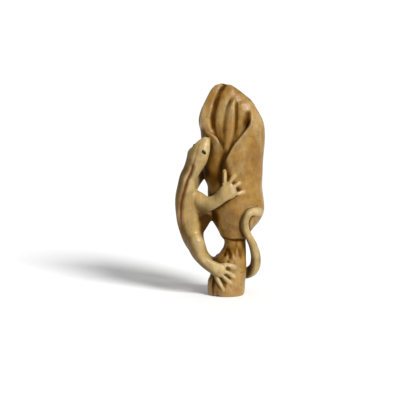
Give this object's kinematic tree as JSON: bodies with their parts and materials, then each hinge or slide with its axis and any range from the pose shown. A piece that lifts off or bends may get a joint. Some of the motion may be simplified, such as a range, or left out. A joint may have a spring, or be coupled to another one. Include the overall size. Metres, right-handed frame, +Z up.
{
  "type": "netsuke",
  "caption": "Upright carved netsuke: a smooth newt climbs the stalk of a furled leaf, its tail curling round to the front; stands on the stalk's flat foot.",
  "frame": {"origin": "centre of the stalk's flat underside", "axes": "+Z up along the stalk and leaf, -Y towards the front where the leaf opens, -X towards the newt's side"},
  "size_m": [0.0293, 0.019, 0.07],
  "materials": {
    "antler": "satin",
    "horn": "gloss"
  },
  "bodies": {
    "root": {"newt_and_leaf": "antler", "right_eye": "horn", "left_eye": "horn"}
  },
  "joints": []
}
